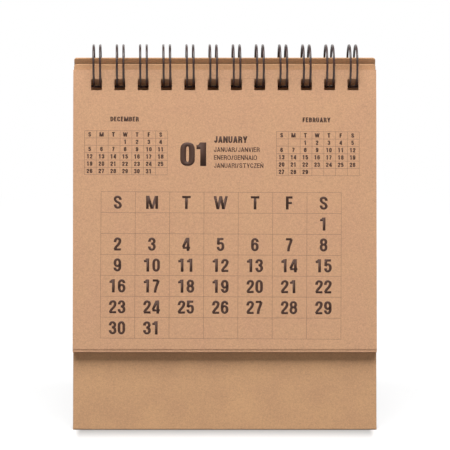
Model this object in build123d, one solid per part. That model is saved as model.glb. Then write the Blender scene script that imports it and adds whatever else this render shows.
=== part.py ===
from build123d import *
import os
from math import acos, asin, atan, atan2, cos, degrees, hypot, radians, sin, sqrt, tan

# Flip desk calendar: twelve paper leaves on a twin-loop wire, over a folding card stand.
# Millimetres. X runs across the calendar, -Y is the side that is read, +Z is up.
# The origin is at the centre of the base, on the surface the calendar stands on.

# ---- driving dimensions ----
WIDTH = 110.0  # every card and every leaf, from side to side
CARD = 0.8  # thickness of the kraft board
PAPER = 0.15  # thickness of a leaf
LEAF_HEIGHT = 101.4
FRONT_HEIGHT = 132.6  # front panel, from the crease's axis to its top edge
FRONT_LEAN = 15.0  # degrees back from upright
BASE_DEPTH = 66.0  # from the front of the crease to the back edge of the base
HEEL = 4.5  # how far the base runs on behind the back panel's inner face
CORNER = 1.0  # rounded corners of the board
EDGE_ROUND = 0.3  # softened edges of the front and back panels
CREASE_PLAY = 0.05  # between the front panel and the end of the base flap

PITCH = 25.4 / 3  # three loops to the inch
SIDE_MARGIN = 7.0  # least distance from the middle of the end hole to the card's side
WIRE = 0.8  # diameter of the wire
LOOP_GAP = 2.4  # between the middles of the two wires of one loop
HOLE_PLAY = 0.4  # each side of a loop in its hole
HOLE_CORNER = 0.25
ROOT_BEND = 0.8  # centre-line radius where a loop turns into the next one
WIRE_END = 1.5  # straight stub at each end of the wire
TIP_PLAY = 0.15  # between a loop's closed tip and the roots beside it

LEAF_MARGIN = 3.5  # paper above a hole
STEEPEST = 45.0  # degrees, the most that the wire slants as it goes through a leaf
SEAT_PLAY = 0.02  # between the wire and the top edge of a leaf's hole
LEAF_STEP = 0.25  # from one leaf to the next, along the ring
HUB_RADIUS = 3.3  # the boards' top edges stay within this radius of the ring's centre
HUB_PLAY = 0.15  # between those edges and the leaves' top edges as they go over

FRONT_SET = 0.3  # front panel's mid-plane, in front of the ring's centre
FRONT_RISE = 0.7  # front panel's top edge, above the ring's centre
BACK_SET = 1.5  # back panel's mid-plane, behind the ring's centre
FRONT_HOLE_PLAY = 0.15  # between the wire and the upper edge of the front panel's hole
BACK_HOLE_PLAY = 0.1  # between the wire and the lower edge of the back panel's hole
SEAM_PLAY = 0.4  # each side of the wire's seam, between the last leaf and the front panel
ROOT_PLAY = 0.15  # between the wire's roots and the front panel
LEAF_REST = 0.35  # between the last leaf's lower edge and the front panel
BACK_REST = 0.12  # between the first leaf and the back panel once it is turned over
FOOT_PLAY = 0.03  # between the back panel's foot and the base

TAB_WIDTH = 14.0
TAB_SPACING = 60.0  # between the middles of the two tabs
TAB_SHORT = 0.1  # how far a tab ends above the base's underside
SLOT_SIDE_PLAY = 0.5
SLOT_FRONT_PLAY = 0.9  # room for the foot to swing forward as the stand folds
SLOT_BACK_PLAY = 0.25

MONTHS = (
    "january", "february", "march", "april", "may", "june",
    "july", "august", "september", "october", "november", "december",
)

# ---- the ring that the wire's loops follow ----
WIRE_RADIUS = WIRE / 2
LOOPS = int((WIDTH - 2 * SIDE_MARGIN) / PITCH) + 1
LOOP_PLACES = [(i - (LOOPS - 1) / 2) * PITCH for i in range(LOOPS)]
HOLE = LOOP_GAP + WIRE + 2 * HOLE_PLAY  # side of a square hole
STEEP = radians(STEEPEST)
LEAF_SEAT = WIRE_RADIUS / cos(STEEP) + PAPER / 2 * tan(STEEP) + SEAT_PLAY
LEAF_REACH = LEAF_MARGIN + LEAF_SEAT  # from a leaf's top edge down to the wire's middle
RING = HUB_RADIUS + HUB_PLAY + LEAF_REACH  # centre-line radius of a loop

# ---- the stand ----
FRONT = radians(FRONT_LEAN)
CREASE_Y = -BASE_DEPTH / 2 + CARD / 2
CREASE_Z = CARD / 2
FRONT_FACE = FRONT_SET + CARD / 2  # front panel's front face, in front of the ring's centre
FRONT_BELOW = FRONT_HEIGHT - FRONT_RISE  # front panel, below the level of the ring's centre
RING_Y = CREASE_Y + FRONT_BELOW * sin(FRONT) + FRONT_SET * cos(FRONT)
RING_Z = CREASE_Z + FRONT_BELOW * cos(FRONT) - FRONT_SET * sin(FRONT)

# The back panel's inner face passes through its foot and touches a small circle about the ring.
FOOT_Y = BASE_DEPTH / 2 - HEEL
FOOT_Z = CARD + FOOT_PLAY
BACK_INNER = BACK_SET - CARD / 2
BACK_OUTER = BACK_SET + CARD / 2
FOOT_REACH = hypot(FOOT_Y - RING_Y, RING_Z - FOOT_Z)
BACK = atan2(FOOT_Y - RING_Y, RING_Z - FOOT_Z) - asin(BACK_INNER / FOOT_REACH)
BACK_BELOW = sqrt(FOOT_REACH**2 - BACK_INNER**2)
BACK_RISE = sqrt(HUB_RADIUS**2 - BACK_OUTER**2)

# ---- the leaves: each one's turn about the ring, counted from its own hanging line ----
LAST_SET = FRONT_FACE + WIRE + 2 * SEAM_PLAY + PAPER / 2  # last leaf, in front of the centre
LAST_CROSSING = asin(LAST_SET / RING)
LAST_BELOW = RING * cos(LAST_CROSSING) + LEAF_HEIGHT - LEAF_REACH
LAST_BACK_FACE = LAST_SET - PAPER / 2
LEAF_TOE = acos((FRONT_FACE + LEAF_REST) / hypot(LAST_BACK_FACE, LAST_BELOW)) - atan2(
    LAST_BELOW, LAST_BACK_FACE
)
LEAF_LEAN = FRONT - LEAF_TOE
STEP_ANGLE = LEAF_STEP / RING
LEAVES = len(MONTHS)


def crossing(leaf):
    """Angle at the ring's centre from a leaf's hanging line to its hole, leaf 0 in front."""
    return LAST_CROSSING + (LEAVES - 1 - leaf) * STEP_ANGLE


# All leaves over: the first one lies along the back panel.
BACK_CROSSING = asin((BACK_OUTER + BACK_REST + PAPER / 2) / RING)
LEAF_TRAVEL = radians(360) - LEAF_LEAN - BACK
WIRE_TRAVEL = LEAF_TRAVEL - crossing(0) - BACK_CROSSING

# ---- the stand's fold ----
BACK_TRAVEL = FRONT + BACK
BASE_TRAVEL = radians(90) + FRONT


def radial(angle):
    """Unit vector from the ring's centre: straight down at 0, forward and up as it grows."""
    return Vector(0, -sin(angle), -cos(angle))


def along(angle):
    """Unit vector along the ring, the way the angle grows."""
    return Vector(0, -cos(angle), sin(angle))


RING_CENTRE = Vector(0, RING_Y, RING_Z)
CREASE = Vector(0, CREASE_Y, CREASE_Z)


def leaf_hinge(leaf):
    """Middle of the wire where a leaf hangs on it."""
    return RING_CENTRE + radial(LEAF_LEAN + crossing(leaf)) * RING


def upright_plane(origin, lean, side):
    """Plane of a sheet that leans by an angle: side -1 faces forward, 1 faces back."""
    return Plane(origin, x_dir=(-side, 0, 0), z_dir=(0, side * cos(lean), sin(lean)))


def sheet_outline(top, bottom):
    return Pos(0, (top + bottom) / 2) * Rectangle(WIDTH, top - bottom)


def hole_row(hole_top, sheet):
    """Row of square punches through a sheet, their upper edges at one height."""
    hole = RectangleRounded(HOLE, HOLE, HOLE_CORNER)
    return [Pos(x, hole_top - HOLE / 2) * extrude(hole, sheet, both=True) for x in LOOP_PLACES]


def board_blank(top, bottom):
    """Board with round top corners, softened edges and a square foot, before it is punched."""
    outline = sheet_outline(top, bottom)
    outline = fillet(outline.vertices().group_by(Axis.Y)[-1], CORNER)
    blank = extrude(outline, CARD / 2, both=True)
    rim = blank.edges().filter_by(Axis.Z, reverse=True).group_by(Axis.Y)[1:]
    return fillet([edge for level in rim for edge in level], EDGE_ROUND)


def wire_side(board_set, side):
    """How far below the ring's centre the wire's upper (-1) or lower (1) side passes a board."""
    slant = asin(board_set / RING)
    return RING * cos(slant) + side * (WIRE_RADIUS / cos(slant) + CARD / 2 * tan(slant))


def front_panel():
    """Front board with a half-round bead along the crease at its foot."""
    plane = upright_plane(RING_CENTRE, FRONT, -1)
    hole_top = FRONT_HOLE_PLAY - wire_side(FRONT_SET, -1)
    board = board_blank(FRONT_RISE, -FRONT_BELOW) - hole_row(hole_top, CARD)
    bead = Pos(0, -FRONT_BELOW) * Rot(0, 90, 0) * Cylinder(CARD / 2, WIDTH)
    return plane * Pos(0, 0, FRONT_SET) * (board + bead)


def tab_places():
    return (-TAB_SPACING / 2, TAB_SPACING / 2)


def back_panel():
    """Back board with two tabs at its foot that drop into the base's slots."""
    plane = upright_plane(RING_CENTRE, BACK, 1)
    hole_top = HOLE - BACK_HOLE_PLAY - wire_side(BACK_SET, 1)
    board = board_blank(BACK_RISE, -BACK_BELOW) - hole_row(hole_top, CARD)
    tab_length = (FOOT_Z - TAB_SHORT) / cos(BACK)
    tab = Rectangle(TAB_WIDTH, 2 * tab_length)
    tabs = [Pos(x, -BACK_BELOW) * extrude(tab, CARD / 2, both=True) for x in tab_places()]
    return plane * Pos(0, 0, BACK_SET) * (board + tabs)


def base_flap():
    """Base board that lies flat: its front end is cut to clear the front panel and the bead."""
    clear = CARD / 2 + CREASE_PLAY
    front_top = CREASE_Y + (clear + CARD / 2 * sin(FRONT)) / cos(FRONT)
    front_low = CREASE_Y + (clear - CARD / 2 * sin(FRONT)) / cos(FRONT)
    back_end = BASE_DEPTH / 2
    section = Polyline(
        (front_low, 0), (back_end, 0), (back_end, CARD), (front_top, CARD), close=True
    )
    board = extrude(Plane.YZ * make_face(section), WIDTH / 2, both=True)
    back_corners = board.edges().filter_by(Axis.Z).group_by(Axis.Y)[-1]
    board = fillet(back_corners, CORNER)
    slot_front = FOOT_Y - SLOT_FRONT_PLAY
    slot_back = FOOT_Y + CARD / cos(BACK) + FOOT_Z * tan(BACK) + SLOT_BACK_PLAY
    slot = Box(TAB_WIDTH + 2 * SLOT_SIDE_PLAY, slot_back - slot_front, 4 * CARD)
    return board - [Pos(x, (slot_front + slot_back) / 2, 0) * slot for x in tab_places()]


def leaf(number):
    """One month's leaf, hanging from the wire by the top edge of its holes."""
    plane = upright_plane(leaf_hinge(number), LEAF_LEAN, -1)
    sheet = extrude(sheet_outline(LEAF_REACH, LEAF_REACH - LEAF_HEIGHT), PAPER / 2, both=True)
    return plane * (sheet - hole_row(LEAF_SEAT, PAPER))


# ---- the wire: up one side of a loop, round its tip, down the other side, on to the next ----
ROOT_SET = FRONT_FACE + WIRE_RADIUS + ROOT_PLAY  # roots' middles, in front of the centre
ROOT_ANGLE = FRONT + asin(ROOT_SET / hypot(RING, ROOT_BEND)) + atan(ROOT_BEND / RING)
TIP_BEND = LOOP_GAP / 2
TIP_BACK = sqrt(
    (TIP_BEND + ROOT_BEND + WIRE + TIP_PLAY) ** 2 - (TIP_BEND + ROOT_BEND) ** 2
)
TIP_ANGLE = ROOT_ANGLE + radians(360) - TIP_BACK / RING


def ring_point(x, angle):
    return RING_CENTRE + Vector(x, 0, 0) + radial(angle) * RING


def root_bend(x, side):
    """Quarter turn at the root of a loop's wire, and the point where the straight run meets it."""
    start = ring_point(x, ROOT_ANGLE)
    middle = start + Vector(side * ROOT_BEND, 0, 0)
    down = along(ROOT_ANGLE) * -ROOT_BEND
    half = middle + Vector(-side * ROOT_BEND * cos(radians(45)), 0, 0) + down * sin(radians(45))
    end = middle + down
    return start, half, end


def wire_path():
    """The wire's centre line, from its left end to its right end."""
    edges = []
    half_turn = (ROOT_ANGLE + TIP_ANGLE) / 2
    for number, x in enumerate(LOOP_PLACES):
        left, right = x - LOOP_GAP / 2, x + LOOP_GAP / 2
        start, half, end = root_bend(left, -1)
        if number == 0:
            edges.append(Line(end - Vector(WIRE_END, 0, 0), end))
        edges.append(ThreePointArc(end, half, start))
        tip = ring_point(x, TIP_ANGLE) + along(TIP_ANGLE) * TIP_BEND
        left_tip, right_tip = ring_point(left, TIP_ANGLE), ring_point(right, TIP_ANGLE)
        edges.append(ThreePointArc(start, ring_point(left, half_turn), left_tip))
        edges.append(ThreePointArc(left_tip, tip, right_tip))
        start, half, end = root_bend(right, 1)
        edges.append(ThreePointArc(right_tip, ring_point(right, half_turn), start))
        edges.append(ThreePointArc(start, half, end))
        run = WIRE_END if number == LOOPS - 1 else PITCH - LOOP_GAP - 2 * ROOT_BEND
        edges.append(Line(end, end + Vector(run, 0, 0)))
    return Wire(edges)


def binding_wire():
    path = wire_path()
    section = Plane(path @ 0, z_dir=path % 0) * Circle(WIRE_RADIUS)
    return sweep(section, path)


def main():
    nodes = {
        "front_panel": front_panel(),
        "base_flap": base_flap(),
        "back_panel": back_panel(),
        "binding_wire": binding_wire(),
    }
    for number, month in enumerate(MONTHS):
        nodes[f"leaf_{number + 1:02d}_{month}"] = leaf(number)
    os.makedirs("parts", exist_ok=True)
    for name, solid in nodes.items():
        export_step(solid, f"parts/{name}.step")
    print("ring radius", round(RING, 3), "back lean", round(degrees(BACK), 3))


if __name__ == "__main__":
    main()
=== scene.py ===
"""Looks of a flip desk calendar: kraft boards, twelve printed leaves and a dark twin-loop wire."""

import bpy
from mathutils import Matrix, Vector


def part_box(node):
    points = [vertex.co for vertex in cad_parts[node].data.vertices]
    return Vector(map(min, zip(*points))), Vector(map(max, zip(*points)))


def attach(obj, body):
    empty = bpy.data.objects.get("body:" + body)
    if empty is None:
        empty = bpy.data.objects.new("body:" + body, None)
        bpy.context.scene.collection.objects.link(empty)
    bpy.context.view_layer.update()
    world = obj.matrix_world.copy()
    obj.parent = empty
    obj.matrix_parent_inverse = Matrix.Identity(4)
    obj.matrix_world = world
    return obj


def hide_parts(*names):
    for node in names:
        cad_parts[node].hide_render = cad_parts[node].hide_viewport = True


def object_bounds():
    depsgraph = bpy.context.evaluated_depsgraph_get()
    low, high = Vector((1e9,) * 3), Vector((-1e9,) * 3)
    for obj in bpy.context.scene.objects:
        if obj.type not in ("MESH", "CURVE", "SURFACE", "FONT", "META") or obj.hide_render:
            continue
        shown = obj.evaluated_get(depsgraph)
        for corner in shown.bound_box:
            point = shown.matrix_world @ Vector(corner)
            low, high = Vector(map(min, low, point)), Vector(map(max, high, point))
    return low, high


bl_info = {
    "name": "Flip desk calendar",
    "version": (1, 0, 0),
    "blender": (4, 5, 0),
    "location": "View3D > Sidebar > Calendar",
    "description": "Finishes a flip desk calendar's boards and wire, and makes its printed leaves",
    "category": "Object",
}

from math import cos, radians, sin

import bpy
from bpy.props import BoolProperty, FloatProperty, FloatVectorProperty, IntProperty, PointerProperty
from mathutils import Matrix, Vector

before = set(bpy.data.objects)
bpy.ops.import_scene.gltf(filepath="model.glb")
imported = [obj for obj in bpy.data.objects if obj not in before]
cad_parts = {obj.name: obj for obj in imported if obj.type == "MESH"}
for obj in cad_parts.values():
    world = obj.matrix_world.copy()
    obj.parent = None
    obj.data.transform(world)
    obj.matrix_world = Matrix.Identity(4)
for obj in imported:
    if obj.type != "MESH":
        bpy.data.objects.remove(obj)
CAD_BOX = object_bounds()
MM = 0.001

BOARDS = ("front_panel", "back_panel", "base_flap")
WIRE = "binding_wire"
LEAVES = sorted(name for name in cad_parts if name.startswith("leaf_"))
FIRST_LEAF = LEAVES[0]

MONTHS = ("JANUARY", "FEBRUARY", "MARCH", "APRIL", "MAY", "JUNE",
          "JULY", "AUGUST", "SEPTEMBER", "OCTOBER", "NOVEMBER", "DECEMBER")
MONTH_DAYS = (31, 28, 31, 30, 31, 30, 31, 31, 30, 31, 30, 31)
WEEK = "SMTWTFS"
# The month's name in two languages a line.
OTHER_NAMES = (
    ("JANUAR/JANVIER", "ENERO/GENNAIO", "JANUARI/STYCZEŃ"),
    ("FEBRUAR/FÉVRIER", "FEBRERO/FEBBRAIO", "FEBRUARI/LUTY"),
    ("MÄRZ/MARS", "MARZO/MARZO", "MAART/MARZEC"),
    ("APRIL/AVRIL", "ABRIL/APRILE", "APRIL/KWIECIEŃ"),
    ("MAI/MAI", "MAYO/MAGGIO", "MEI/MAJ"),
    ("JUNI/JUIN", "JUNIO/GIUGNO", "JUNI/CZERWIEC"),
    ("JULI/JUILLET", "JULIO/LUGLIO", "JULI/LIPIEC"),
    ("AUGUST/AOÛT", "AGOSTO/AGOSTO", "AUGUSTUS/SIERPIEŃ"),
    ("SEPTEMBER/SEPTEMBRE", "SEPTIEMBRE/SETTEMBRE", "SEPTEMBER/WRZESIEŃ"),
    ("OKTOBER/OCTOBRE", "OCTUBRE/OTTOBRE", "OKTOBER/PAŹDZIERNIK"),
    ("NOVEMBER/NOVEMBRE", "NOVIEMBRE/NOVEMBRE", "NOVEMBER/LISTOPAD"),
    ("DEZEMBER/DÉCEMBRE", "DICIEMBRE/DICEMBRE", "DECEMBER/GRUDZIEŃ"),
)


# ---------------------------------------------------------------- settings

def length(name, description, millimetres):
    """A size that a user can change, in metres."""
    return FloatProperty(name=name, description=description, default=millimetres * MM,
                         unit="LENGTH", subtype="DISTANCE", precision=5)


def angle(name, description, degrees):
    return FloatProperty(name=name, description=description, default=radians(degrees),
                         unit="ROTATION", subtype="ANGLE")


def colour(name, description, red, green, blue):
    """A colour given as it looks on a screen, from 0 to 255."""
    return FloatVectorProperty(name=name, description=description, size=3, min=0, max=1,
                               subtype="COLOR_GAMMA",
                               default=(red / 255, green / 255, blue / 255))


class CALENDAR_PG_colours(bpy.types.PropertyGroup):
    """Colours of the calendar's materials"""
    board: colour("Board", "Kraft board of the stand", 197, 153, 115)
    paper: colour("Paper", "Kraft paper of the leaves", 203, 157, 123)
    ink: colour("Ink", "Printing ink", 78, 53, 42)
    wire: colour("Wire", "Coating of the twin-loop wire", 56, 38, 34)


class CALENDAR_PG_wire(bpy.types.PropertyGroup):
    """How the wire's loops sit"""
    skew: length("Skew", "How far right of its middle a loop's foremost point sits", 0.26)


class CALENDAR_PG_leaf(bpy.types.PropertyGroup):
    """How a leaf lies and how it is printed"""
    curl_from: length("Curl from", "Depth below a leaf's top edge where it starts to lean back", 14)
    curl: angle("Curl", "How far a leaf's top edge leans back", 3)
    second_down: length("Second leaf down", "How much lower the second leaf's lower edge is", 0.8)
    hole_middle: length("Hole middle", "Depth of the holes' middles below a leaf's top edge", 5.5)
    ease: length("Hole ease", "How much higher the holes reach, to keep leaning paper off the wire",
                 0.14)
    ink_above: length("Ink above", "How far the ink stands on the paper", 0.012)
    ink_below: length("Ink below", "How far the ink sinks into the paper", 0.02)
    line: length("Grid line", "Width of a grid's lines", 0.1)
    offset: length("Print offset", "How far the print sits right of the leaf's middle", -1.3)
    turn: angle("Print turn", "How far the print is turned clockwise on the leaf", 0.27)
    turn_about: length("Turn about", "Height below the top edge that the print is turned about", 50)
    first_weekday: IntProperty(name="First weekday", default=6, min=0, max=6,
                               description="Weekday of 1 January, 0 is Sunday")
    leap_year: BoolProperty(name="Leap year", description="February has 29 days", default=True)


class CALENDAR_PG_grids(bpy.types.PropertyGroup):
    """Places and sizes of what is printed, measured down from a leaf's top edge"""
    main_cell: length("Main cell width", "Width of a day in the month's grid", 12.435)
    main_row: length("Main row", "Height of a week in the month's grid", 7.575)
    main_down: length("Main grid down", "Middle of the month's grid, below the top edge", 71.06)
    main_cap: length("Main numbers", "Height of the month's numbers", 4.76)
    main_shift: length("Main numbers left", "How far left of its cell's middle one sits", 0.16184)
    small_cell: length("Small cell width", "Width of a day in a small grid", 4.29)
    small_row: length("Small row", "Height of a week in a small grid", 2.66)
    small_down: length("Small grids down", "Middle of the small grids, below the top edge", 30.4)
    small_aside: length("Small grids aside", "From midway between the small grids to one's middle",
                        34.8)
    small_offset: length("Small grids offset", "How far right of the print's middle that is", 0.17)
    small_cap: length("Small numbers", "Height of a small grid's numbers", 1.6)
    small_shift: length("Small numbers left", "How far left of its cell's middle one sits", 0.288)
    name_down: length("Small names down", "Middle of the names over the small grids", 18.15)
    name_cap: length("Small names", "Height of the names over the small grids", 1.74)
    name_aside: length("Small names left", "How far left of its grid's middle one sits", 0.52)
    number_cap: length("Month number", "Height of the month's number", 8.55)
    number_right: length("Month number right", "Right end of the number, from the print's middle",
                         -4.57)
    number_down: length("Month number down", "Middle of the month's number", 30.8)
    month_left: length("Month name left", "Left end of the month's names, from the print's middle",
                       -2.8)
    month_down: length("Month name down", "Middle of the month's name", 25.42)
    month_cap: length("Month name", "Height of the month's name", 2.4)
    other_down: length("Other names down", "Middle of the first line in other languages", 29.05)
    other_pitch: length("Other names pitch", "From one line in other languages to the next", 2.9)
    other_cap: length("Other names", "Height of the names in other languages", 1.66)


class CALENDAR_PG_stage(bpy.types.PropertyGroup):
    """Camera, lamps and floor"""
    distance: length("Distance", "From the camera to the middle of the calendar", 877.2)
    aim: length("Aim", "Height that the camera looks at", 68)
    aside: length("Aside", "How far right of the middle the camera stands and looks", 0.09)
    elevation: angle("Elevation", "How far the camera looks down", 12.44)
    tilt: angle("Tilt", "How far the camera looks above its aim", 0.047)
    lens: FloatProperty(name="Lens", description="Focal length", default=189.8, unit="CAMERA")
    key: FloatProperty(name="Key lamp", default=18.5,
                       description="Strength of the overhead softbox, in watts")
    front: FloatProperty(name="Front lamp", default=1.3,
                         description="Strength of the front softbox, in watts")
    rear: FloatProperty(name="Rear lamp", default=7,
                        description="Strength of the rear softbox, in watts")
    sky: FloatProperty(name="Sky", default=0.03,
                       description="Strength of the even light from all round")
    bounce: FloatProperty(name="Bounce", default=0.41,
                          description="Share of the light that the floor throws back up")
    floor_grey: FloatProperty(name="Floor grey", default=0.95,
                              description="How bright the floor is away from the calendar")
    # Painted shade: the floor's colour where the crease stands on it, in place of its contact
    # shadow.
    shade_grey: FloatProperty(name="Shade grey", default=0.33,
                              description="How bright the floor is where the crease stands on it")
    shade_reach: length("Shade reach", "Where the floor's shade ends, in front of the crease", 16)


SETTINGS = (CALENDAR_PG_colours, CALENDAR_PG_wire, CALENDAR_PG_leaf, CALENDAR_PG_grids,
            CALENDAR_PG_stage)


def setting_name(group):
    """The name of a settings group on the scene."""
    return group.__name__.replace("CALENDAR_PG_", "calendar_")


# ---------------------------------------------------------------- materials

def linear(gamma_colour):
    """A screen colour as the linear colour that a shader takes."""
    steps = [c / 12.92 if c <= 0.04045 else ((c + 0.055) / 1.055) ** 2.4 for c in gamma_colour]
    return (*steps, 1.0)


def shade(base, factor):
    """A linear colour made lighter or darker."""
    return (*[c * factor for c in base[:3]], 1.0)


class Reading:
    """A value or a place that a material reads from its nodes. Sums on a value add Math nodes."""

    def __init__(self, finish, socket):
        self.finish = finish
        self.socket = socket

    def sum(self, operation, *values):
        """Adds one Math node, whose operation takes the values in order."""
        return self.finish.node("ShaderNodeMath", {"operation": operation}, values)

    def __add__(self, other):
        return self.sum("ADD", self, other)

    def __radd__(self, other):
        return self.sum("ADD", other, self)

    def __sub__(self, other):
        return self.sum("SUBTRACT", self, other)

    def __rsub__(self, other):
        return self.sum("SUBTRACT", other, self)

    def __mul__(self, other):
        return self.sum("MULTIPLY", self, other)

    def __rmul__(self, other):
        return self.sum("MULTIPLY", other, self)

    def __truediv__(self, other):
        return self.sum("DIVIDE", self, other)

    def __rtruediv__(self, other):
        return self.sum("DIVIDE", other, self)

    def between(self, low, high):
        """0 below low, 1 above high, smooth between them."""
        return self.finish.node("ShaderNodeMapRange", {"interpolation_type": "SMOOTHSTEP"},
                                {"Value": self, "From Min": low, "From Max": high})


class Finish:
    """A procedural material, worked out from the piece's own coordinates."""

    def __init__(self, name):
        self.material = bpy.data.materials.new(name)
        self.material.use_nodes = True
        self.tree = self.material.node_tree
        self.shader = self.tree.nodes["Principled BSDF"]
        place = self.tree.nodes.new("ShaderNodeTexCoord")
        self.place = Reading(self, place.outputs["Object"])

    def node(self, kind, node_settings=None, values=(), output=0):
        """Adds a node: its settings come first, then its inputs, by place or by name."""
        node = self.tree.nodes.new(kind)
        for key, value in (node_settings or {}).items():
            setattr(node, key, value)
        pairs = values.items() if isinstance(values, dict) else enumerate(values)
        for key, value in pairs:
            self.feed(node.inputs[key], value)
        return Reading(self, node.outputs[output])

    def feed(self, socket, value):
        if isinstance(value, Reading):
            self.tree.links.new(value.socket, socket)
        else:
            socket.default_value = value

    def set(self, **values):
        """Sets or links the shader's own sockets, with _ for a space in their names."""
        for key, value in values.items():
            self.feed(self.shader.inputs[key.replace("_", " ")], value)
        return self.material

    def stretched(self, scale, turn=0.0):
        """The piece's coordinates times a scale for each axis, turned about X and Z."""
        return self.node("ShaderNodeMapping", {"vector_type": "POINT"},
                         {"Vector": self.place, "Rotation": (turn, 0, turn), "Scale": scale})

    def grain(self, size, detail=2.0, roughness=0.5, distortion=0.0):
        """Even noise whose grains are about that many millimetres in size."""
        scale = 1 / (size * MM)
        return self.noise(self.stretched((scale, scale, scale)), detail, roughness, distortion)

    def noise(self, coordinates, detail, roughness, distortion):
        return self.node("ShaderNodeTexNoise", {"noise_dimensions": "3D"},
                         {"Vector": coordinates, "Scale": 1.0, "Detail": detail,
                          "Roughness": roughness, "Distortion": distortion}, "Fac")

    def mix(self, factor, first, second):
        """A colour between two colours."""
        return self.node("ShaderNodeMix", {"data_type": "RGBA"},
                         {0: factor, 6: first, 7: second}, 2)

    def bump(self, height, distance, strength):
        return self.node("ShaderNodeBump", None,
                         {"Height": height, "Distance": distance, "Strength": strength})


def kraft(name, base, lift, clouding):
    """Uncoated kraft stock: cloudy pulp, short pale and dark fibres, flecks and a dry, fuzzy face.

    lift adds to the green and blue of the pulp's second tint, and clouding says how much its
    clouds lighten and darken it.
    """
    finish = Finish(name)
    clouds = finish.grain(11.0, 2.0, 0.5)
    patches = finish.grain(0.7, 2.0, 0.6)
    speckle = finish.grain(0.3, 2.0, 0.6)
    long_fibres = finish.noise(finish.stretched((1400, 5200, 400), 0.7), 2.0, 0.5, 0.6)
    cross_fibres = finish.noise(finish.stretched((500, 4200, 1900), -0.5), 2.0, 0.5, 0.6)
    flecks = finish.grain(0.7, 1.0, 0.4, 0.4)

    # The pulp: two close tints in clouds, and lighter and darker by cloud, patch and speckle.
    pale = shade(base, 1.26)
    deep = shade(base, 0.72)
    tint = (base[0] * 0.97, base[1] * (0.99 + lift), base[2] * (0.94 + lift), 1.0)
    body = finish.mix(clouds.between(0.3, 0.7), base, tint)
    tone = (clouds - 0.5) * clouding + (patches - 0.5) + (speckle - 0.5) * 1.4
    body = finish.mix((0.5 + tone).between(0.0, 1.0),
                      finish.mix(0.5, body, deep), finish.mix(0.5, body, pale))
    # Pale fibres one way, dark fibres the other way, and a few darker flecks.
    body = finish.mix(long_fibres.between(0.60, 0.72) * 0.35, body, shade(base, 1.22))
    body = finish.mix(cross_fibres.between(0.62, 0.74) * 0.40, body, shade(base, 0.70))
    body = finish.mix(flecks.between(0.74, 0.80) * 0.35, body, shade(base, 0.55))
    height = speckle * 0.6 + long_fibres * 0.5 + cross_fibres * 0.3
    return finish.set(Base_Color=body, Roughness=0.86 + (speckle - 0.5) * 0.12,
                      Specular_IOR_Level=0.25, Sheen_Weight=0.06, Sheen_Roughness=0.6,
                      Normal=finish.bump(height, 0.02 * MM, 0.6))


def ink_finish(name, base):
    """Matt ink that lets the paper's grain show a little."""
    finish = Finish(name)
    speckle = finish.grain(0.22, 2.0, 0.6)
    thin = finish.grain(0.9, 2.0, 0.5)
    body = finish.mix(speckle.between(0.60, 0.78) * 0.2, base, shade(base, 2.0))
    body = finish.mix(thin.between(0.45, 0.75) * 0.15, body, shade(base, 1.3))
    return finish.set(Base_Color=body, Roughness=0.62 + (speckle - 0.5) * 0.2,
                      Specular_IOR_Level=0.35, Normal=finish.bump(speckle, 0.01 * MM, 0.5))


def coated_wire(name, base):
    """Nylon-coated steel: a dark satin skin, faintly uneven, thinner and browner here and there."""
    finish = Finish(name)
    ripple = finish.grain(0.5)
    wear = finish.grain(2.4)
    worn = (base[0] * 1.5, base[1] * 1.25, base[2] * 1.2, 1.0)
    return finish.set(Base_Color=finish.mix(wear.between(0.42, 0.66), base, worn),
                      Roughness=0.42 + (ripple - 0.5) * 0.16,
                      Specular_IOR_Level=0.6, Coat_Weight=0.25, Coat_Roughness=0.3,
                      Normal=finish.bump(ripple, 0.01 * MM, 0.4))


def dress(piece, material):
    """Gives a piece one material all over."""
    piece.data.materials.clear()
    piece.data.materials.append(material)


# ---------------------------------------------------------------- mesh helpers

def select_only(*pieces):
    """Leaves only these pieces selected, the first of them active, in object mode."""
    if bpy.context.object and bpy.context.object.mode != "OBJECT":
        bpy.ops.object.mode_set(mode="OBJECT")
    bpy.ops.object.select_all(action="DESELECT")
    for piece in pieces:
        piece.hide_set(False)
        piece.select_set(True)
    bpy.context.view_layer.objects.active = pieces[0]
    return pieces[0]


def edit(piece, choose=None):
    """Opens a piece in edit mode with the vertices that a test picks, or all of them."""
    select_only(piece)
    bpy.ops.object.mode_set(mode="EDIT")
    bpy.ops.mesh.select_mode(type="VERT")
    bpy.ops.mesh.select_all(action="DESELECT" if choose else "SELECT")
    if choose:
        bpy.ops.object.mode_set(mode="OBJECT")
        for vertex in piece.data.vertices:
            vertex.select = choose(vertex.co)
        bpy.ops.object.mode_set(mode="EDIT")


def done():
    """Closes edit mode."""
    bpy.ops.object.mode_set(mode="OBJECT")


def move(piece, choose, by):
    """Moves the vertices that a test on their place picks."""
    edit(piece, choose)
    bpy.ops.transform.translate(value=by)
    done()


def apply(piece, kind, **values):
    """Adds a modifier of a kind with these settings, and applies it."""
    select_only(piece)
    modifier = piece.modifiers.new(kind.title(), kind)
    for key, value in values.items():
        setattr(modifier, key, value)
    bpy.ops.object.modifier_apply(modifier=modifier.name)


def copy_of(piece, name):
    """A copy of a piece with a mesh of its own."""
    twin = bpy.data.objects.new(name, piece.data.copy())
    bpy.context.scene.collection.objects.link(twin)
    return twin


def sheet_place(node):
    """Place of a leaning sheet: X along it, Y up it and Z out of its front.

    It is measured from the middle of the sheet's top edge.
    """
    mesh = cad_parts[node].data
    out = Vector((0, 0, 0))
    for face in mesh.polygons:
        if face.normal.y < -0.5:
            out += face.normal * face.area
    out.normalize()
    across = Vector((1, 0, 0))
    up = out.cross(across)
    top = max(vertex.co.dot(up) for vertex in mesh.vertices)
    front = max(vertex.co.dot(out) for vertex in mesh.vertices)
    place = Matrix((across, up, out)).transposed().to_4x4()
    place.translation = up * top + out * front
    return place


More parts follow.
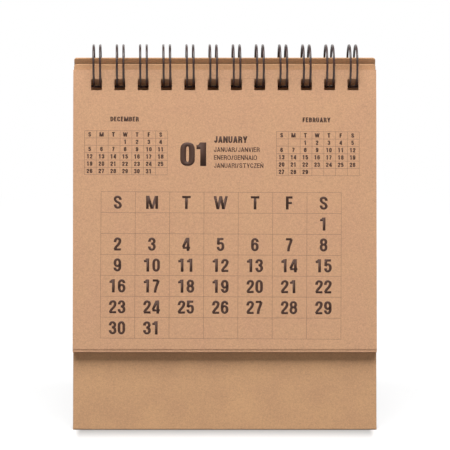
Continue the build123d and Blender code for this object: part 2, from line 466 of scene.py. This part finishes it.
# ---------------------------------------------------------------- lettering
# A sign is drawn with a pen of even width inside a box that is as wide as its first number says, in
# heights. In its strokes x and y run from 0 to 1 between the pen's middle at the box's edges, a
# third number rounds a corner, and a stroke that starts with LOOP is closed. Strokes that run past
# the box are cut off level there.

LOOP = "loop"
ROUND = 0.25  # a full corner, such as a zero's
SOFT = 0.12  # a slight corner
PAST = 0.2  # how far a stroke runs past the top or the foot, to be cut off

DIGITS = {
    "0": (0.57, [[LOOP, (0, 0, ROUND), (1, 0, ROUND), (1, 1, ROUND), (0, 1, ROUND)]]),
    "1": (0.42, [[(1, 1 + PAST), (1, -PAST)], [(-0.4, 0.86), (1, 0.86)],
                 [(0.1, 0.87), (0.5, 0.91, SOFT), (1, 1.12)]]),
    "2": (0.58, [[(0, 0.67), (0, 1, ROUND), (1, 1, ROUND), (1, 0.60, 0.22), (0.06, 0.16, 0.14),
                  (0, 0)],
                 [(-0.15, 0), (1.2, 0)]]),
    "3": (0.59, [[(0, 0.71), (0, 1, ROUND), (0.96, 1, ROUND), (0.96, 0.535, 0.2), (0.36, 0.535)],
                 [(0.36, 0.535), (1, 0.535, 0.22), (1, 0, ROUND), (0, 0, ROUND), (0, 0.29)]]),
    "4": (0.63, [[(0.84, 1 + PAST), (0.84, -PAST)], [(0.67, 1.06), (-0.04, 0.25)],
                 [(-0.12, 0.19), (1.2, 0.19)]]),
    "5": (0.58, [[(1.1, 1), (0.08, 1), (0.04, 0.5)],
                 [(0.0, 0.47), (0.18, 0.63, SOFT), (1, 0.63, ROUND), (1, 0, ROUND),
                  (0, 0, ROUND), (0, 0.28)]]),
    "6": (0.58, [[(1, 0.74), (1, 1, ROUND), (0, 1, ROUND), (0, 0, ROUND), (1, 0, ROUND),
                  (1, 0.6, ROUND),
                  (0, 0.6, 0.2), (0, 0.36)]]),
    "7": (0.56, [[(-0.2, 1), (1.0, 1)], [(1.0, 1.0), (0.86, 0.78, 0.2), (0.36, 0.24, 0.2),
                  (0.30, -PAST)]]),
    "8": (0.59, [[LOOP, (0.04, 0.54, 0.22), (0.96, 0.54, 0.22), (0.96, 1, 0.22), (0.04, 1, 0.22)],
                 [LOOP, (0, 0, ROUND), (1, 0, ROUND), (1, 0.54, 0.22), (0, 0.54, 0.22)]]),
    "9": (0.58, [[(0, 0.26), (0, 0, ROUND), (1, 0, ROUND), (1, 1, ROUND), (0, 1, ROUND),
                  (0, 0.4, ROUND),
                  (1, 0.4, 0.2), (1, 0.64)]]),
}
LETTERS = {
    "A": (0.66, [[(-0.04, -PAST), (0.5, 1.12)], [(1.04, -PAST), (0.5, 1.12)], [(0.16, 0.22),
                  (0.84, 0.22)]]),
    "B": (0.6, [[LOOP, (0, 1), (0.95, 1, ROUND), (0.95, 0.53, 0.2), (0, 0.53)],
                [LOOP, (0, 0), (1, 0, ROUND), (1, 0.53, 0.2), (0, 0.53)]]),
    "C": (0.6, [[(1, 0.68), (1, 1, ROUND), (0, 1, ROUND), (0, 0, ROUND), (1, 0, ROUND),
                  (1, 0.32)]]),
    "D": (0.6, [[LOOP, (0, 0), (1, 0, 0.3), (1, 1, 0.3), (0, 1)]]),
    "E": (0.52, [[(1.25, 1), (0, 1), (0, 0), (1.25, 0)], [(0, 0.52), (1.15, 0.52)]]),
    "F": (0.52, [[(1.25, 1), (0, 1), (0, -PAST)], [(0, 0.5), (1.12, 0.5)]]),
    "G": (0.67, [[(1, 0.69), (1, 1, ROUND), (0, 1, ROUND), (0, 0, ROUND), (1, 0, ROUND), (1, 0.46),
                  (0.45, 0.46)]]),
    "H": (0.6, [[(0, 1 + PAST), (0, -PAST)], [(1, 1 + PAST), (1, -PAST)], [(0, 0.52), (1, 0.52)]]),
    "I": (0.19, [[(0.5, 1 + PAST), (0.5, -PAST)]]),
    "J": (0.5, [[(1, 1 + PAST), (1, 0, ROUND), (0, 0, ROUND), (0, 0.3)]]),
    "K": (0.62, [[(0, 1 + PAST), (0, -PAST)], [(0.1, 0.3), (1.05, 1 + PAST)], [(0.34, 0.56),
                  (1.08, -PAST)]]),
    "L": (0.47, [[(0, 1 + PAST), (0, 0), (1.25, 0)]]),
    "M": (0.91, [[(0, -PAST), (0, 1.1)], [(1, -PAST), (1, 1.1)], [(0.02, 1 + PAST), (0.5, -0.14)],
                 [(0.98, 1 + PAST), (0.5, -0.14)]]),
    "N": (0.65, [[(0, -PAST), (0, 1 + PAST)], [(1, -PAST), (1, 1 + PAST)], [(-0.04, 1.12),
                  (1.04, -0.12)]]),
    "O": (0.68, [[LOOP, (0, 0, ROUND), (1, 0, ROUND), (1, 1, ROUND), (0, 1, ROUND)]]),
    "P": (0.58, [[(0, -PAST), (0, 1)], [LOOP, (0, 0.46), (1, 0.46, ROUND), (1, 1, ROUND), (0, 1)]]),
    "R": (0.6, [[(0, -PAST), (0, 1)], [LOOP, (0, 0.5), (0.96, 0.5, ROUND), (0.96, 1, ROUND),
                  (0, 1)],
                [(0.45, 0.5), (0.92, 0.5, 0.16), (0.97, -PAST)]]),
    "S": (0.61, [[(1, 0.72), (1, 1, ROUND), (0, 1, ROUND), (0, 0.6, 0.2), (1, 0.42, 0.2),
                  (1, 0, ROUND),
                 (0, 0, ROUND), (0, 0.29)]]),
    "T": (0.67, [[(-0.2, 1), (1.2, 1)], [(0.5, 1), (0.5, -PAST)]]),
    "U": (0.6, [[(0, 1 + PAST), (0, 0, ROUND), (1, 0, ROUND), (1, 1 + PAST)]]),
    "V": (0.64, [[(-0.04, 1 + PAST), (0.5, -0.12)], [(1.04, 1 + PAST), (0.5, -0.12)]]),
    "W": (1.06, [[(-0.03, 1 + PAST), (0.245, -0.12)], [(0.5, 1.12), (0.255, -0.12)],
                 [(0.5, 1.12), (0.745, -0.12)], [(1.03, 1 + PAST), (0.755, -0.12)]]),
    "X": (0.62, [[(-0.04, -PAST), (1.04, 1 + PAST)], [(1.04, -PAST), (-0.04, 1 + PAST)]]),
    "Y": (0.63, [[(-0.06, 1 + PAST), (0.5, 0.34)], [(1.06, 1 + PAST), (0.5, 0.34)],
                 [(0.5, 0.42), (0.5, -PAST)]]),
    "Z": (0.54, [[(-0.1, 1), (1.2, 1)], [(-0.2, 0), (1.2, 0)], [(1.0, 1.0), (0.0, 0.0)]]),
    "/": (0.42, [[(0.0, -PAST), (1.0, 1 + PAST)]]),
}
ACCENTS = {
    "´": (0.3, [[(0.2, 1.22), (0.9, 1.42)]]),
    "¨": (0.44, [[(0.0, 1.2), (0.0, 1.36)], [(1.0, 1.2), (1.0, 1.36)]]),
    "^": (0.44, [[(-0.1, 1.2), (0.5, 1.42), (1.1, 1.2)]]),
}
ACCENTED = {"Ń": "N´", "É": "E´", "Ź": "Z´", "Ä": "A¨", "Û": "U^"}
SHAPES = {**DIGITS, **LETTERS, **ACCENTS}
DIGIT_SHARE = 0.67  # a digit's share of a line, in heights: all are equal, so that dates line up
DIGIT_LEAD = 0.5  # how much of the spare room in its share is left of a digit
ONE_LEAD = 0.22  # the same for the 1
CORNER = 0.58  # how far a rounded corner's curve reaches towards the corner
CORNER_STEPS = 7
STROKE_STEP = 0.04  # how much thinner each side of a sign's next stroke is, in thicknesses
WELD = 1e-4  # points nearer than this are one, in heights

# Each style's pen widths across and down, its breadth and its gap between letters, in heights, and
# for some a digit's share and the corners' reach.
STYLES = {
    "bold": (0.205, 0.168, 1.0, 0.11),
    "heavy": (0.252, 0.172, 1.09, 0.11, 0.551, 0.72),
    "title": (0.245, 0.185, 1.06, 0.08),
    "caption": (0.25, 0.2, 1.06, 0.11),
    "small": (0.255, 0.215, 1.05, 0.13),
    "light": (0.175, 0.15, 1.1, 0.105),
}


class Style:
    """How lettering is drawn, and the signs drawn so far."""

    def __init__(self, name, stem, bar, breadth, gap, share=DIGIT_SHARE, corner=CORNER):
        self.name = name
        self.stem = stem
        self.bar = bar
        self.breadth = breadth
        self.gap = gap
        self.slot = share * breadth
        self.corner = corner
        self.drawn = {}


def round_stroke(points, reach_out):
    """A stroke's points with its corners rounded, each as far as its legs allow."""
    line = []
    count = len(points)
    for i, (corner, reach) in enumerate(points):
        if not reach:
            line.append(corner)
            continue
        ends = []
        for step in (-1, 1):
            other, other_reach = points[(i + step) % count]
            leg = other - corner
            room = leg.length * (0.5 if other_reach else 1.0)
            ends.append(corner + leg.normalized() * min(reach, room))
        handles = [end.lerp(corner, reach_out) for end in ends]
        for k in range(CORNER_STEPS + 1):
            t = k / CORNER_STEPS
            a, b, c, d = (1 - t) ** 3, 3 * t * (1 - t) ** 2, 3 * t * t * (1 - t), t ** 3
            line.append(ends[0] * a + handles[0] * b + handles[1] * c + ends[1] * d)
    return line


def cut_off(place, way):
    """In edit mode, cuts off all that is past a plane, and closes the cut."""
    bpy.ops.mesh.select_all(action="SELECT")
    bpy.ops.mesh.bisect(plane_co=place, plane_no=way, use_fill=True, clear_outer=True)


def draw_shape(sign, style):
    """One sign of a style, one unit high, as a flat closed solid one unit thick.

    Each stroke is a little thinner than the one before, so that no two faces lie on one another.
    """
    width, strokes = SHAPES[sign]
    width *= style.breadth
    stretch = style.stem / style.bar
    drawn = []
    for level, stroke in enumerate(strokes):
        curve = bpy.data.curves.new("pen", "CURVE")
        curve.dimensions = "2D"
        curve.fill_mode = "NONE"
        curve.extrude = 0.5 - STROKE_STEP * level
        closed = stroke[0] == LOOP
        points = []
        for x, y, *reach in stroke[1:] if closed else stroke:
            spot = Vector((style.stem / 2 + x * (width - style.stem),
                           (style.bar / 2 + y * (1 - style.bar)) * stretch, 0))
            points.append((spot, reach[0] * stretch if reach else 0))
        line = round_stroke(points, style.corner)
        spline = curve.splines.new("POLY")
        spline.points.add(len(line) - 1)
        for point, spot in zip(spline.points, line):
            point.co = (*spot, 1)
        spline.use_cyclic_u = closed
        pen = bpy.data.objects.new(f"{style.name} {sign}", curve)
        bpy.context.scene.collection.objects.link(pen)
        select_only(pen)
        bpy.ops.object.convert(target="MESH")
        pen = bpy.context.object
        apply(pen, "SOLIDIFY", thickness=style.stem, offset=0, use_even_offset=True, use_rim=True)
        drawn.append(pen)
    letter = select_only(*drawn)
    if len(drawn) > 1:
        bpy.ops.object.join()
    edit(letter)
    bpy.ops.mesh.remove_doubles(threshold=WELD)
    if sign not in ACCENTS:
        cut_off((0, 0, 0), (0, -1, 0))
        cut_off((0, stretch, 0), (0, 1, 0))
    cut_off((0, 0, 0), (-1, 0, 0))
    cut_off((width, 0, 0), (1, 0, 0))
    bpy.ops.mesh.select_all(action="SELECT")
    bpy.ops.mesh.normals_make_consistent(inside=False)
    done()
    letter.data.transform(Matrix.Diagonal((1, 1 / stretch, 1, 1)))
    return letter, width


def shape(sign, style):
    """A sign of a style and its width, drawn once and copied from then on."""
    if sign not in style.drawn:
        style.drawn[sign] = draw_shape(sign, style)
    return style.drawn[sign]


def typeset(text, style, cap, x, y, align=0.5):
    """Lettering on the XY plane: y is its middle, and x its left end, middle or right end.

    align says which end, from 0 at the left to 1 at the right.
    """
    spots = []
    pen = 0.0
    for sign in text:
        parts = ACCENTED.get(sign, sign)
        letter, width = shape(parts[0], style)
        if sign in DIGITS:
            slot = style.slot
            lead = (slot - width) * (ONE_LEAD if sign == "1" else DIGIT_LEAD)
        else:
            slot, lead = width + style.gap, style.gap / 2
        spots.append((letter, pen + lead))
        if len(parts) > 1:
            accent, accent_width = shape(parts[1], style)
            spots.append((accent, pen + lead + (width - accent_width) / 2))
        pen += slot
    start = x - pen * cap * align
    pieces = []
    for letter, along in spots:
        piece = copy_of(letter, "print")
        piece.data.transform(Matrix.Translation((start + along * cap, y - cap / 2, 0))
                             @ Matrix.Diagonal((cap, cap, 1, 1)))
        pieces.append(piece)
    return pieces


def ruled_grid(columns, rows, cell, row, line, x, y):
    """A grid of thin lines, one unit thick."""
    bpy.ops.mesh.primitive_grid_add(x_subdivisions=columns, y_subdivisions=rows, size=1)
    grid = bpy.context.object
    grid.data.transform(Matrix.Diagonal((columns * cell, rows * row, 1, 1)))
    apply(grid, "WIREFRAME", thickness=line, use_boundary=True, use_replace=True,
          use_even_offset=True)
    grid.data.transform(Matrix.Translation((x, y, 0)) @ Matrix.Diagonal((1, 1, 1 / line, 1)))
    return grid


def month_numbers(days, first, style, cap, cell, row, rows, x, y, shift):
    """Weekday initials and dates, in a grid of seven columns whose first row holds the initials.

    A grid with five rows for dates prints a sixth week over the fifth.
    """
    left = x - 3 * cell + shift
    top = y + (rows - 1) / 2 * row
    pieces = []
    for day, initial in enumerate(WEEK):
        pieces += typeset(initial, style, cap, left + day * cell, top)
    for date in range(1, days + 1):
        place = first + date - 1
        week = min(place // 7, rows - 2)
        pieces += typeset(str(date), style, cap, left + place % 7 * cell, top - (week + 1) * row)
    return pieces


# ---------------------------------------------------------------- operators

class CALENDAR_OT_boards(bpy.types.Operator):
    """Give the front panel, back panel and base flap their kraft board"""
    bl_idname = "calendar.boards"
    bl_label = "Finish the boards"

    def execute(self, context):
        board = kraft("kraft_board", linear(context.scene.calendar_colours.board), 0.0, 0.8)
        for name in BOARDS:
            dress(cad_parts[name], board)
        return {"FINISHED"}


class CALENDAR_OT_wire(bpy.types.Operator):
    """Make the twin-loop wire, its loops a little askew, with its dark satin coating"""
    bl_idname = "calendar.wire"
    bl_label = "Make the wire"

    def execute(self, context):
        scene = context.scene
        low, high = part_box(WIRE)
        middle = (low[1] + high[1]) / 2
        slant = scene.calendar_wire.skew / ((high[1] - low[1]) / 2)
        askew = Matrix(((1, -slant, 0, slant * middle), (0, 1, 0, 0), (0, 0, 1, 0), (0, 0, 0, 1)))
        loops = copy_of(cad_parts[WIRE], "wire_loops")
        loops.data.transform(askew)
        dress(loops, coated_wire("dark_wire", linear(scene.calendar_colours.wire)))
        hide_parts(WIRE)
        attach(loops, WIRE)
        return {"FINISHED"}


class CALENDAR_OT_leaves(bpy.types.Operator):
    """Make the twelve paper leaves, whose top edges lean back on the wire"""
    bl_idname = "calendar.leaves"
    bl_label = "Make the leaves"

    steps = 7  # folds that the lean is shared among
    hair = 1e-6  # keeps a fold's own points still
    edge_band = 0.3 * MM  # how near a sheet's edge its corners are

    def execute(self, context):
        leaf = context.scene.calendar_leaf
        paper = kraft("kraft_paper", linear(context.scene.calendar_colours.paper), 0.01, 0.3)
        home = sheet_place(FIRST_LEAF)
        sheet = copy_of(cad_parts[FIRST_LEAF], "sheet")
        sheet.data.transform(home.inverted())
        # The CAD mesh is loose triangles, which are welded and merged where they lie flat.
        edit(sheet)
        bpy.ops.mesh.remove_doubles(threshold=0.001 * MM)
        bpy.ops.mesh.dissolve_limited(angle_limit=radians(0.5))
        done()
        move(sheet, lambda spot: -leaf.hole_middle < spot.y < -leaf.ease, (0, leaf.ease, 0))
        edit(sheet)
        levels = [-leaf.curl_from * (1 - k / self.steps) for k in range(self.steps)]
        for level in levels:
            bpy.ops.mesh.select_all(action="SELECT")
            bpy.ops.mesh.bisect(plane_co=(0, level, 0), plane_no=(0, 1, 0))
        done()
        for level in levels:
            self.lean_back(sheet, level, leaf.curl / self.steps)
        edit(sheet)
        bpy.ops.mesh.normals_make_consistent(inside=False)
        done()
        for number, name in enumerate(LEAVES):
            page = copy_of(sheet, name.replace("leaf", "page"))
            if number == 1:
                low = min(vertex.co.y for vertex in page.data.vertices)
                move(page, lambda spot: spot.y < low + self.edge_band, (0, -leaf.second_down, 0))
            page.data.transform(sheet_place(name))
            dress(page, paper)
            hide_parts(name)
            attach(page, name)
        bpy.data.objects.remove(sheet)
        return {"FINISHED"}

    def lean_back(self, sheet, level, lean):
        """Turns all of a sheet above a level about that level."""
        about = Vector((0, level, 0))
        there = Matrix.Translation(about)
        turn = there @ Matrix.Rotation(-lean, 4, "X") @ there.inverted()
        for vertex in sheet.data.vertices:
            if vertex.co.y > level + self.hair:
                vertex.co = turn @ vertex.co


class CALENDAR_OT_print(bpy.types.Operator):
    """Print each leaf: its number, names and dates, and small grids for the months beside it"""
    bl_idname = "calendar.print"
    bl_label = "Print the leaves"

    def execute(self, context):
        scene = context.scene
        leaf = scene.calendar_leaf
        ink = ink_finish("print_ink", linear(scene.calendar_colours.ink))
        self.styles = {name: Style(name, *numbers) for name, numbers in STYLES.items()}
        days = [n + (leaf.leap_year and m == 1) for m, n in enumerate(MONTH_DAYS)]
        firsts = [(leaf.first_weekday + sum(days[:m])) % 7 for m in range(12)]
        last_year = (leaf.first_weekday - MONTH_DAYS[-1]) % 7
        next_year = (leaf.first_weekday + sum(days)) % 7
        self.months = [(11, days[11], last_year), *zip(range(12), days, firsts),
                       (0, days[0], next_year)]
        turn = Matrix.Rotation(-leaf.turn, 4, "Z")
        middle = Matrix.Translation((0, -leaf.turn_about, 0))
        sunk = Matrix.Translation((0, 0, (leaf.ink_above - leaf.ink_below) / 2))
        depth = sunk @ Matrix.Diagonal((1, 1, leaf.ink_above + leaf.ink_below, 1))
        for number, name in enumerate(LEAVES):
            page = self.page(number, leaf.offset, leaf.line, scene.calendar_grids)
            page.name = name.replace("leaf", "print")
            page.data.transform(sheet_place(name) @ middle @ turn @ middle.inverted() @ depth)
            dress(page, ink)
            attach(page, name)
        for style in self.styles.values():
            for letter, _ in style.drawn.values():
                bpy.data.objects.remove(letter)
        return {"FINISHED"}

    def page(self, number, x, line, grids):
        """All that is printed on one leaf, flat on the XY plane with its top edge on the X axis."""
        styles = self.styles
        pieces = [ruled_grid(7, 7, grids.main_cell, grids.main_row, line, x, -grids.main_down)]
        _, days, first = self.months[number + 1]
        pieces += month_numbers(days, first, styles["bold"], grids.main_cap, grids.main_cell,
                                grids.main_row, 7, x, -grids.main_down, -grids.main_shift)
        for side, near in ((-1, number), (1, number + 2)):
            month, days, first = self.months[near]
            middle = x + grids.small_offset + side * grids.small_aside
            pieces.append(ruled_grid(7, 6, grids.small_cell, grids.small_row, line,
                                     middle, -grids.small_down))
            pieces += month_numbers(days, first, styles["small"], grids.small_cap,
                                    grids.small_cell, grids.small_row, 6,
                                    middle, -grids.small_down, -grids.small_shift)
            pieces += typeset(MONTHS[month], styles["caption"], grids.name_cap,
                              middle - grids.name_aside, -grids.name_down)
        pieces += typeset(f"{number + 1:02d}", styles["heavy"], grids.number_cap,
                          x + grids.number_right, -grids.number_down, 1.0)
        left = x + grids.month_left
        pieces += typeset(MONTHS[number], styles["title"], grids.month_cap,
                          left, -grids.month_down, 0.0)
        for row, names in enumerate(OTHER_NAMES[number]):
            pieces += typeset(names, styles["light"], grids.other_cap,
                              left, -grids.other_down - row * grids.other_pitch, 0.0)
        select_only(*pieces)
        bpy.ops.object.join()
        return bpy.context.object


# Each lamp's place, and its width and height, in metres.
LAMPS = {
    "key": ((0.0, -0.27, 1.03), 1.2, 0.56),
    "front": ((0.0, -1.2, 0.62), 1.2, 0.9),
    "rear": ((0.0, 1.2, 0.62), 1.2, 0.9),
}
FLOOR_SIZE = 6  # metres
FILM_WIDTH = 36  # millimetres
VIEW_END = 20  # how far the camera sees, in metres

# The floor's painted shade lies along the line where the crease stands: the floor is coloured
# darker there in place of its contact shadow. It is cut off faster behind the line and beyond its
# ends, which are a little short of the calendar's sides.
PAINTED_SHADE_INSET = 3 * MM
PAINTED_SHADE_BEHIND = 2.0
PAINTED_SHADE_BESIDE = 5.0
# Past these distances the floor shows white, at first in part and then in full.
PART_WHITE = (0.015, 0.024)
PART_WHITE_SHARE = 0.8
FULL_WHITE = (0.16, 0.4)


class CALENDAR_OT_stage(bpy.types.Operator):
    """Set the floor, the soft studio light and the camera"""
    bl_idname = "calendar.stage"
    bl_label = "Set the stage"

    def execute(self, context):
        stage = context.scene.calendar_stage
        context.scene.view_settings.view_transform = "Standard"
        self.floor(stage)
        self.world(context, stage)
        aim = Vector((stage.aside, 0, stage.aim))
        for name, (place, width, height) in LAMPS.items():
            self.lamp(name, place, aim, width, height, getattr(stage, name))
        self.camera(context, stage, aim)
        return {"FINISHED"}

    def floor(self, stage):
        bpy.ops.mesh.primitive_plane_add(size=FLOOR_SIZE)
        floor = bpy.context.object
        floor.name = "floor"
        edit(floor)
        bpy.ops.mesh.subdivide(number_cuts=3)
        done()
        dress(floor, self.floor_finish(stage))

    def floor_finish(self, stage):
        """Pale matt floor with a painted shade along the crease, which shows white away from it."""
        finish = Finish("floor")
        low, high = CAD_BOX
        parts = finish.node("ShaderNodeSeparateXYZ", None, [finish.place]).socket.node.outputs
        across = Reading(finish, parts["X"])
        ahead = Reading(finish, parts["Y"])
        camera_ray = finish.node("ShaderNodeLightPath", None, (), "Is Camera Ray")
        glossy_ray = finish.node("ShaderNodeLightPath", None, (), "Is Glossy Ray")

        before = low[1] - ahead
        near = before.sum("MAXIMUM", before, before * -PAINTED_SHADE_BEHIND)
        aside = across.sum("ABSOLUTE", across) - (high[0] - PAINTED_SHADE_INSET)
        beside = aside.sum("MAXIMUM", aside, 0.0) * PAINTED_SHADE_BESIDE
        gap = near.sum("SQRT", near * near + beside * beside)
        # Painted shade: the floor's colour runs from darker at the crease to pale, standing in for
        # its contact shadow.
        seen = finish.mix(gap / stage.shade_reach,
                          self.grey(stage.shade_grey), self.grey(stage.floor_grey))
        finish.set(Base_Color=finish.mix(camera_ray, self.grey(stage.bounce), seen),
                   Roughness=0.9, Specular_IOR_Level=0.1)

        distance = finish.node("ShaderNodeVectorMath", {"operation": "LENGTH"}, [finish.place],
                               "Value")
        white = finish.node("ShaderNodeEmission", None, {"Color": self.grey(1), "Strength": 1.0})
        full = distance.between(*FULL_WHITE)
        clear = full.sum("MAXIMUM", full, gap.between(*PART_WHITE) * PART_WHITE_SHARE)
        clear = clear * camera_ray.sum("MAXIMUM", camera_ray, glossy_ray)
        matt = Reading(finish, finish.shader.outputs["BSDF"])
        mixed = finish.node("ShaderNodeMixShader", None, {0: clear, 1: matt, 2: white})
        finish.feed(finish.tree.nodes["Material Output"].inputs["Surface"], mixed)
        return finish.material

    def grey(self, level):
        """A grey as a linear colour."""
        return (level, level, level, 1)

    def world(self, context, stage):
        """Even light from all round, which shows as plain white behind the calendar."""
        world = bpy.data.worlds.new("studio")
        context.scene.world = world
        world.use_nodes = True
        tree = world.node_tree
        background = tree.nodes["Background"]
        background.inputs["Color"].default_value = self.grey(1)
        path = tree.nodes.new("ShaderNodeLightPath")
        seen = tree.nodes.new("ShaderNodeMath")
        seen.operation = "MAXIMUM"
        tree.links.new(path.outputs["Is Camera Ray"], seen.inputs[0])
        tree.links.new(path.outputs["Is Transmission Ray"], seen.inputs[1])
        strength = tree.nodes.new("ShaderNodeMapRange")
        strength.inputs["To Min"].default_value = stage.sky
        strength.inputs["To Max"].default_value = 1.0
        tree.links.new(seen.outputs[0], strength.inputs["Value"])
        tree.links.new(strength.outputs[0], background.inputs["Strength"])

    def lamp(self, name, place, aim, width, height, watts):
        """A softbox that faces the calendar."""
        bpy.ops.object.light_add(type="AREA", location=place)
        lamp = bpy.context.object
        lamp.name = name
        lamp.data.shape = "RECTANGLE"
        lamp.data.size = width
        lamp.data.size_y = height
        lamp.data.energy = watts
        lamp.rotation_euler = (Vector(place) - aim).to_track_quat("Z", "Y").to_euler()

    def camera(self, context, stage, aim):
        back = Vector((0, -cos(stage.elevation), sin(stage.elevation)))
        bpy.ops.object.camera_add(location=aim + back * stage.distance)
        camera = bpy.context.object
        camera.rotation_euler = (radians(90) - stage.elevation + stage.tilt, 0, 0)
        camera.data.lens = stage.lens
        camera.data.sensor_width = FILM_WIDTH
        camera.data.clip_end = VIEW_END
        context.scene.camera = camera


STEPS = (CALENDAR_OT_boards, CALENDAR_OT_wire, CALENDAR_OT_leaves, CALENDAR_OT_print,
         CALENDAR_OT_stage)


class CALENDAR_PT_panel(bpy.types.Panel):
    """The calendar's settings and steps"""
    bl_idname = "CALENDAR_PT_panel"
    bl_label = "Flip desk calendar"
    bl_space_type = "VIEW_3D"
    bl_region_type = "UI"
    bl_category = "Calendar"

    def draw(self, context):
        for group in SETTINGS:
            box = self.layout.box()
            for key in group.__annotations__:
                box.prop(getattr(context.scene, setting_name(group)), key)
        for step in STEPS:
            self.layout.operator(step.bl_idname)


def register():
    for group in SETTINGS:
        bpy.utils.register_class(group)
        setattr(bpy.types.Scene, setting_name(group), PointerProperty(type=group))
    for step in (*STEPS, CALENDAR_PT_panel):
        bpy.utils.register_class(step)


def unregister():
    for step in reversed((*STEPS, CALENDAR_PT_panel)):
        bpy.utils.unregister_class(step)
    for group in reversed(SETTINGS):
        delattr(bpy.types.Scene, setting_name(group))
        bpy.utils.unregister_class(group)


def main():
    register()
    for step in STEPS:
        area, name = step.bl_idname.split(".")
        getattr(getattr(bpy.ops, area), name)()


if __name__ == "__main__":
    main()
